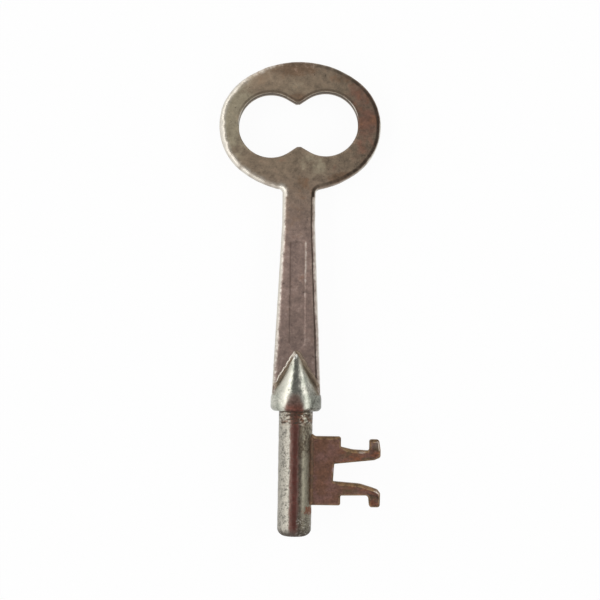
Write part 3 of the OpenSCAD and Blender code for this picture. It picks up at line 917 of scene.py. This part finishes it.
# The post: a profile of radius against length turned round the centre line. Each pit is a small bell
# curve that lowers the radius, worked out for all points at once.
def makePost(s, material):
    radius, length = key["postRadius"], key["postLength"]
    tip = s["tipRadius"]
    corner = arc((radius - tip, tip - length), tip, 0, -90, 12)
    side = straight((radius, s["socketDepth"]), (radius, tip - length), s["along"])
    end = straight(corner[-1], (0.0, -length), 9)
    profile = np.concatenate([[[0.0, s["socketDepth"]]], side, corner[1:], end[1:]])
    plain, y = profile[:, :1], profile[:, 1:]
    turn = np.linspace(0, 2 * math.pi, s["around"], endpoint=False)
    draw = np.random.default_rng(s["seed"])
    pitTurn, pitY = draw.uniform(0, 2 * math.pi, s["pits"]), draw.uniform(-length, 0, s["pits"])
    pitSize = draw.uniform(*s["pitSizes"], s["pits"])
    pitDepth = draw.uniform(*s["pitDepths"], s["pits"])
    low = np.abs(ripple(turned(radius, y, turn), 4.0, 41)) * s["wear"]
    for where, height, size, depth in zip(pitTurn, pitY, pitSize, pitDepth):
        away = (turn - where + math.pi) % (2 * math.pi) - math.pi
        low += depth * np.exp(-((away * radius) ** 2 + (y - height) ** 2) / size ** 2)
    low += s["groove"]["depth"] * bell(y - s["groove"]["at"], s["groove"]["width"])
    at = turned(np.maximum(plain - low * (plain > radius * 0.5), 0), y, turn)
    makePiece("roundPost", [{"at": at, "wrapCols": True}], ["post"], material)


bitShape = {
    "top": -4.6,
    "length": 12.77,
    "block": 8.5,
    "notchX": 7.2,
    "hookWidth": 2.1,
    "rootX": 2.5,
    "bevel": 0.34,
    "wideBevel": 0.26,
    "step": 0.1,
}


# Corners of the bit as (x, y, radius), from its root's upper end and round by the hooks.
def bitCorners(s):
    reach, top, bottom = key["bitReach"], s["top"], s["top"] - s["length"]
    hook = reach - s["hookWidth"]
    return [
        (s["rootX"], top + 0.45, 0.4), (3.2, top + 0.4, 0.5), (3.75, top, 0.6), (s["block"], top, 0.4),
        (s["block"], top - 1.9, 0.25), (s["block"] + 2.2, top - 2.38, 4.0), (hook, top - 2.54, 0.35),
        (hook, top - 0.45, 0.4), (reach - 0.3, top - 0.45, 0.5), (reach, top - 2.4, 2.0),
        (reach, top - 3.8, 0.6), (reach - 1.2, top - 4.3, 0.9), (s["notchX"] + 0.1, top - 5.1, 0.15),
        (s["notchX"] - 0.1, top - 8.33, 0.2), (s["notchX"] + 4.9, top - 8.7, 5.0),
        (reach - 1.6, top - 9.35, 2.0), (reach - 0.5, top - 9.75, 0.6), (reach, top - 10.4, 0.5),
        (reach - 0.05, bottom - 0.25, 0.5),
        (hook + 0.1, bottom - 0.25, 0.5), (hook - 0.15, top - 10.85, 0.6), (s["block"], top - 10.95, 0.25),
        (s["block"], bottom, 0.4), (s["rootX"], bottom, 0.4),
    ]


# The bit: bevelled edges carried along its outline, closed by two flat caps. The bevel widens where the
# edge faces up the key, but not in hollow corners too tight for it: there the room, the corner's radius
# less the bevel, runs out. Its crest and its walls are marked.
def makeBit(s, material):
    h, b = key["halfBit"], s["bevel"]
    loop = roundedOutline(bitCorners(s), s["step"])[::-1]
    normals = leftNormals(loop, True)
    profile = softened([(b + 0.03, h), (b, h), (0, h - b), (0, b - h), (b, -h), (b + 0.03, -h)], 0.1, 5)
    outX, outY = -normals[:, 0], -normals[:, 1]
    before, after = np.roll(normals, 1, 0), np.roll(normals, -1, 0)
    bend = (before[:, 1] * after[:, 0] - before[:, 0] * after[:, 1]) / (2 * s["step"])
    room = clamp((1 / np.maximum(bend, 0.2) - b) / 0.6)
    room = np.min([np.roll(room, k) for k in range(-5, 6)], axis=0)
    room = np.mean([np.roll(room, k) for k in range(-4, 5)], axis=0)
    wide = s["wideBevel"] * room * clamp(outY * 1.5 - 0.3)
    onFront = clamp((profile[:, 1] - h + b) / b)
    rim = carried(loop, normals, profile, wide[:, None] * onFront)
    inset, front = profile[:, 0], profile[:, 1]
    onHook = loop[:, 0] > key["bitReach"] - 0.6
    onArm = loop[:, 0] > s["block"]
    # The edge mark is a painted highlight on the bevel's crest, set by which way the edge faces.
    lit = np.clip(0.3 + (0.4 + 0.3 * onArm) * outY + (0.1 + 0.7 * onHook) * outX, 0.02, 1)
    crest = bell(inset - 0.92 * b, 0.055) * (np.abs(front) > h - b - 0.02) * (inset < b + 0.02)
    wall = clamp((b - inset) / (0.3 * b))
    upper = np.arange(len(loop)) * len(profile)
    caps = [upper, upper + len(profile) - 1]
    grid = {"at": rim, "wrapRows": True, "edge": lit[:, None] * crest, "brink": wall}
    makePiece("bitPlate", [grid], ["bit"], material, caps)


brazeShape = {"leg": 0.6, "beadWidth": 1.02, "beadHeight": 0.3, "tipSteps": 15, "along": 120}


# Fillets along the bit's root: from the post's round side to the bit's face by a hollow curve, whose
# legs swell and shrink along the root.
def makeBitBraze(s, bit, material):
    radius, h = key["postRadius"], key["halfBit"]
    y = np.linspace(bit["top"] - 0.02, bit["top"] - bit["length"] + 0.02, s["along"])
    swell = 1 - 0.25 * np.abs(ripple(y[:, None], 2.2, 51)) - 0.1 * np.abs(ripple(y[:, None], 0.7, 52))
    swell *= np.clip(np.minimum(y[0] - y, y - y[-1]) / 0.35, 0.15, 1) ** 0.5
    leg = s["leg"] * swell
    rootX = math.sqrt(radius ** 2 - h ** 2)
    up = math.asin(h / radius) + leg / radius
    start = pointsFrom(radius * np.cos(up), radius * np.sin(up))
    end = pointsFrom(rootX + leg, h)
    hollow = np.array([rootX + 0.08, h + 0.08])
    curve = parabola(start[:, None], hollow, end[:, None], np.linspace(0, 1, 9)[None, :, None])
    buried = np.broadcast_to(np.array([rootX - 0.15, h - 0.15]), (len(y), 1, 2))
    section = np.concatenate([curve, buried], 1)
    grids, caps = [], []
    for side in (1, -1):
        at = pointsFrom(section[..., 0], y[:, None], side * section[..., 1])
        caps += endCaps(grids, *at.shape[:2])
        grids.append({"at": at, "wrapCols": True})
    makePiece("bitBraze", grids, ["bit_braze"], material, caps)


# Beads along the arch where a cheek meets the plate. Across a bead its height is a bell curve, whose
# crest lies near the outer side. The marks are painted shade in the valley next to the cheek and a
# painted highlight on the crest.
def makeTangBraze(s, material):
    nose, h = key["nose"], key["halfPlate"]
    length = collarShape["length"]
    up = np.linspace(length + 0.1, nose, 200)
    arch = pointsFrom(archHalf(up, collarShape), up)
    line = np.concatenate([arch, (arch * [-1, 1])[::-1]])
    even = np.linspace(0, lengthAlong(line)[-1], s["along"] * 2)
    soft = np.hanning(s["tipSteps"]) / np.hanning(s["tipSteps"]).sum()
    extra = s["tipSteps"] // 2
    padded = np.pad(pointsAt(line, even), ((extra, extra), (0, 0)), "edge")
    line = pointsFrom(*(np.convolve(padded[:, k], soft, "valid") for k in (0, 1)))
    normals = -leftNormals(line, False)
    fromEnd = np.minimum(even, even[::-1])
    width = s["beadWidth"] * (1 - 0.25 * np.abs(ripple(line, 2.5, 61)))
    width = width * (0.6 + 0.4 * np.abs(line[:, 0]) / 4)
    width = width * np.clip(fromEnd / 1.2, 0.12, 1)
    across = np.linspace(0, 1, 13)
    lift = s["beadHeight"] * (0.05 + 0.6 * bell(across - 0.76, 0.18))
    lift[0], lift[-1] = 0.03, -0.03
    stemLean = (bladeShape["footWidth"] - bladeShape["neckWidth"]) / 2 / (bladeShape["neckEnd"] - length)
    stemHalf = (bladeShape["footWidth"] / 2 - (line[:, 1:] - length) * stemLean) - 0.15
    grids, caps = [], []
    for side in (1, -1):
        flat = line[:, None] + normals[:, None] * (across[None, :, None] * 1.15 - 0.15) * width[:, None, None]
        flat[..., 0] = np.clip(flat[..., 0], -stemHalf - 0.02 * across, stemHalf + 0.02 * across)
        fall = np.maximum(np.abs(flat[..., 0]) - stemHalf + bladeShape["bevel"], 0)
        height = h + lift - fall - clamp(0.05 - fromEnd / 6)[:, None]
        top = np.concatenate([flat, side * height[..., None]], -1)
        buried = np.concatenate([flat[:, ::-1], side * (h - 0.1 - fall[:, ::-1, None])], -1)
        at = np.concatenate([top, buried], 1)
        marks = np.concatenate([across, across[::-1] * 0])
        # Painted highlight on the crest, on the beads' left side and near the tip; painted shade in the
        # valley, deeper on the right.
        lit = clamp(0.15 - line[:, 0] * side / 0.7) * np.clip(1.3 + line[:, 0] * side / 4, 0.2, 1)
        crest = bell(marks - 0.8, 0.17)[None, :] * lit[:, None]
        nearTip = 0.42 * bell(line[:, 0] * side + 0.4, 0.4)
        crest = np.maximum(crest, nearTip[:, None] * (marks > 0.05))
        depth = np.clip((np.abs(line[:, 0]) - 0.3) / 2.2, 0.1, 1) * np.where(line[:, 0] * side > 0, 1, 0.35)
        valley = bell(marks - 0.25, 0.35)[None, :] * depth[:, None]
        caps += endCaps(grids, *at.shape[:2])
        grids.append({"at": at, "wrapCols": True, "edge": crest, "brink": valley})
    makePiece("tangBraze", grids, ["tang_braze"], material, caps)


makeBlade(bladeShape, makeMaterial("bladeMetal", bladeMetal, bladeLook))
makeCollar(collarShape, makeMaterial("collarMetal", collarMetal, collarLook))
makePost(postShape, makeMaterial("postMetal", postMetal, postLook))
makeBit(bitShape, makeMaterial("bitMetal", bitMetal, bitLook))
makeBitBraze(brazeShape, bitShape, makeMaterial("bitBrazeMetal", brazeMetal, bitBrazeLook))
makeTangBraze(brazeShape, makeMaterial("tangBrazeMetal", brazeMetal, tangBrazeLook))
print("key made")

stage = {"size": 8.0, "steps": 13, "grey": 0.9045, "whiteShare": 0.95}

# The key lies on its collar and on the bow's far end, so the floor under it leans.
collarTouch = np.array([collarShape["length"], -key["collarRadius"]])
bowTouch = np.array([
    bladeShape["bowMiddle"] + bladeShape["bowLength"] / 2 - bladeShape["bevel"], -key["halfPlate"],
])
lean = math.atan2(bowTouch[1] - collarTouch[1], bowTouch[0] - collarTouch[0])
floorUp = np.array([0.0, -math.sin(lean), math.cos(lean)])
floorAlong = np.array([0.0, math.cos(lean), math.sin(lean)])
floorPoint = toFrame([0.0, *collarTouch])


# The floor: a flat sheet through the given point. It takes the key's shadow, and rays from the camera
# and reflections see it mostly white.
def makeFloor(s, point, along):
    material = bpy.data.materials.new("paper")
    wire = startNodes(material)
    seen = wire.node("LightPath") + wire.node("LightPath", output=3)
    plain = wire.node("BsdfDiffuse", {"Color": (s["grey"], s["grey"], s["grey"], 1)})
    white = wire.node("Emission", {"Color": (1, 1, 1, 1), "Strength": 1.0})
    mixed = wire.node("MixShader", {0: seen * s["whiteShare"], 1: plain, 2: white})
    wire.node("OutputMaterial", {"Surface": mixed})
    steps = np.linspace(-s["size"] / 2, s["size"] / 2, s["steps"])
    sheet = point + steps[:, None, None] * along + steps[None, :, None] * [1.0, 0.0, 0.0]
    faces = gridFaces(s["steps"], s["steps"], False, False)[:, ::-1]
    mesh = bpy.data.meshes.new("floor")
    mesh.from_pydata(sheet.reshape(-1, 3).tolist(), [], faces.tolist())
    mesh.materials.append(material)
    addObject("floor", mesh)


makeFloor(stage, floorPoint, floorAlong)

# The camera looks straight down on the floor. Its foot is where its line meets the floor, in the
# frame's millimetres, and the key's top leans to the right by the given angle.
shot = {
    "distance": 285.0,
    "floorSeen": 114.1,
    "footX": 0.47,
    "footY": -0.27,
    "keyLean": 0.847,
    "sensor": 36.0,
}


# The camera: its place is a matrix of its right, its up, its back and its position.
def makeCamera(s, point, along, up):
    foot = point + along * ((s["footY"] * mm - point[1]) / along[1]) + np.array([s["footX"] * mm, 0, 0])
    turn = math.radians(s["keyLean"])
    upward = along * math.cos(turn) - np.array([1.0, 0, 0]) * math.sin(turn)
    rightward = np.cross(upward, up)
    data = bpy.data.cameras.new("camera")
    data.sensor_width = s["sensor"]
    data.lens = s["sensor"] * s["distance"] / s["floorSeen"]
    camera = addObject("camera", data)
    place = np.eye(4)
    place[:3] = pointsFrom(rightward, upward, up, foot + up * s["distance"] * mm)
    camera.matrix_world = Matrix(place.tolist())
    bpy.context.scene.camera = camera


makeCamera(shot, floorPoint, floorAlong, floorUp)

# Stops along the sideways share of a direction, from the left horizon over the top to the right one.
sky = {
    "stops": [
        (0.0, 1.1), (0.03, 1.15), (0.09, 1.75), (0.15, 2.6), (0.195, 2.7), (0.245, 0.26), (0.70, 0.24),
        (0.82, 1.5), (0.87, 2.0), (0.93, 1.8), (0.965, 0.45), (1.0, 0.35),
    ],
    "strength": 2.7,
    "poleSoftness": 0.03,
    "ends": 0.85,
}


# The sky: long bright belts to the left and right of the key, a dim band along its length overhead.
def makeSky(s):
    world = bpy.data.worlds.new("sky")
    bpy.context.scene.world = world
    wire = startNodes(world, {"ends": (s["ends"] / s["strength"],) * 3})
    way = wire.node("TexCoord")
    across, along, up = (wire.node("SeparateXYZ", {0: way}, axis) for axis in range(3))
    length = up.math("SQRT", across * across + up * up + s["poleSoftness"])
    place = up.math("DIVIDE", across, length) * 0.5 + 0.5
    stops = [(p, (v / s["strength"],) * 3) for p, v in s["stops"]]
    ramp = wire.node("ValToRGB", {0: place}, stops=stops)
    ramp = ramp.into("ends", along.math("ABSOLUTE", along).rise(0.86, 0.99))
    light = wire.node("Background", {"Color": ramp, "Strength": s["strength"]})
    white = wire.node("Background", {"Color": (1, 1, 1, 1), "Strength": 1.0})
    mixed = wire.node("MixShader", {0: wire.node("LightPath"), 1: light, 2: white})
    wire.node("OutputWorld", {"Surface": mixed})


makeSky(sky)
bpy.context.scene.view_settings.view_transform = "Standard"
print("floor, camera and lights made")
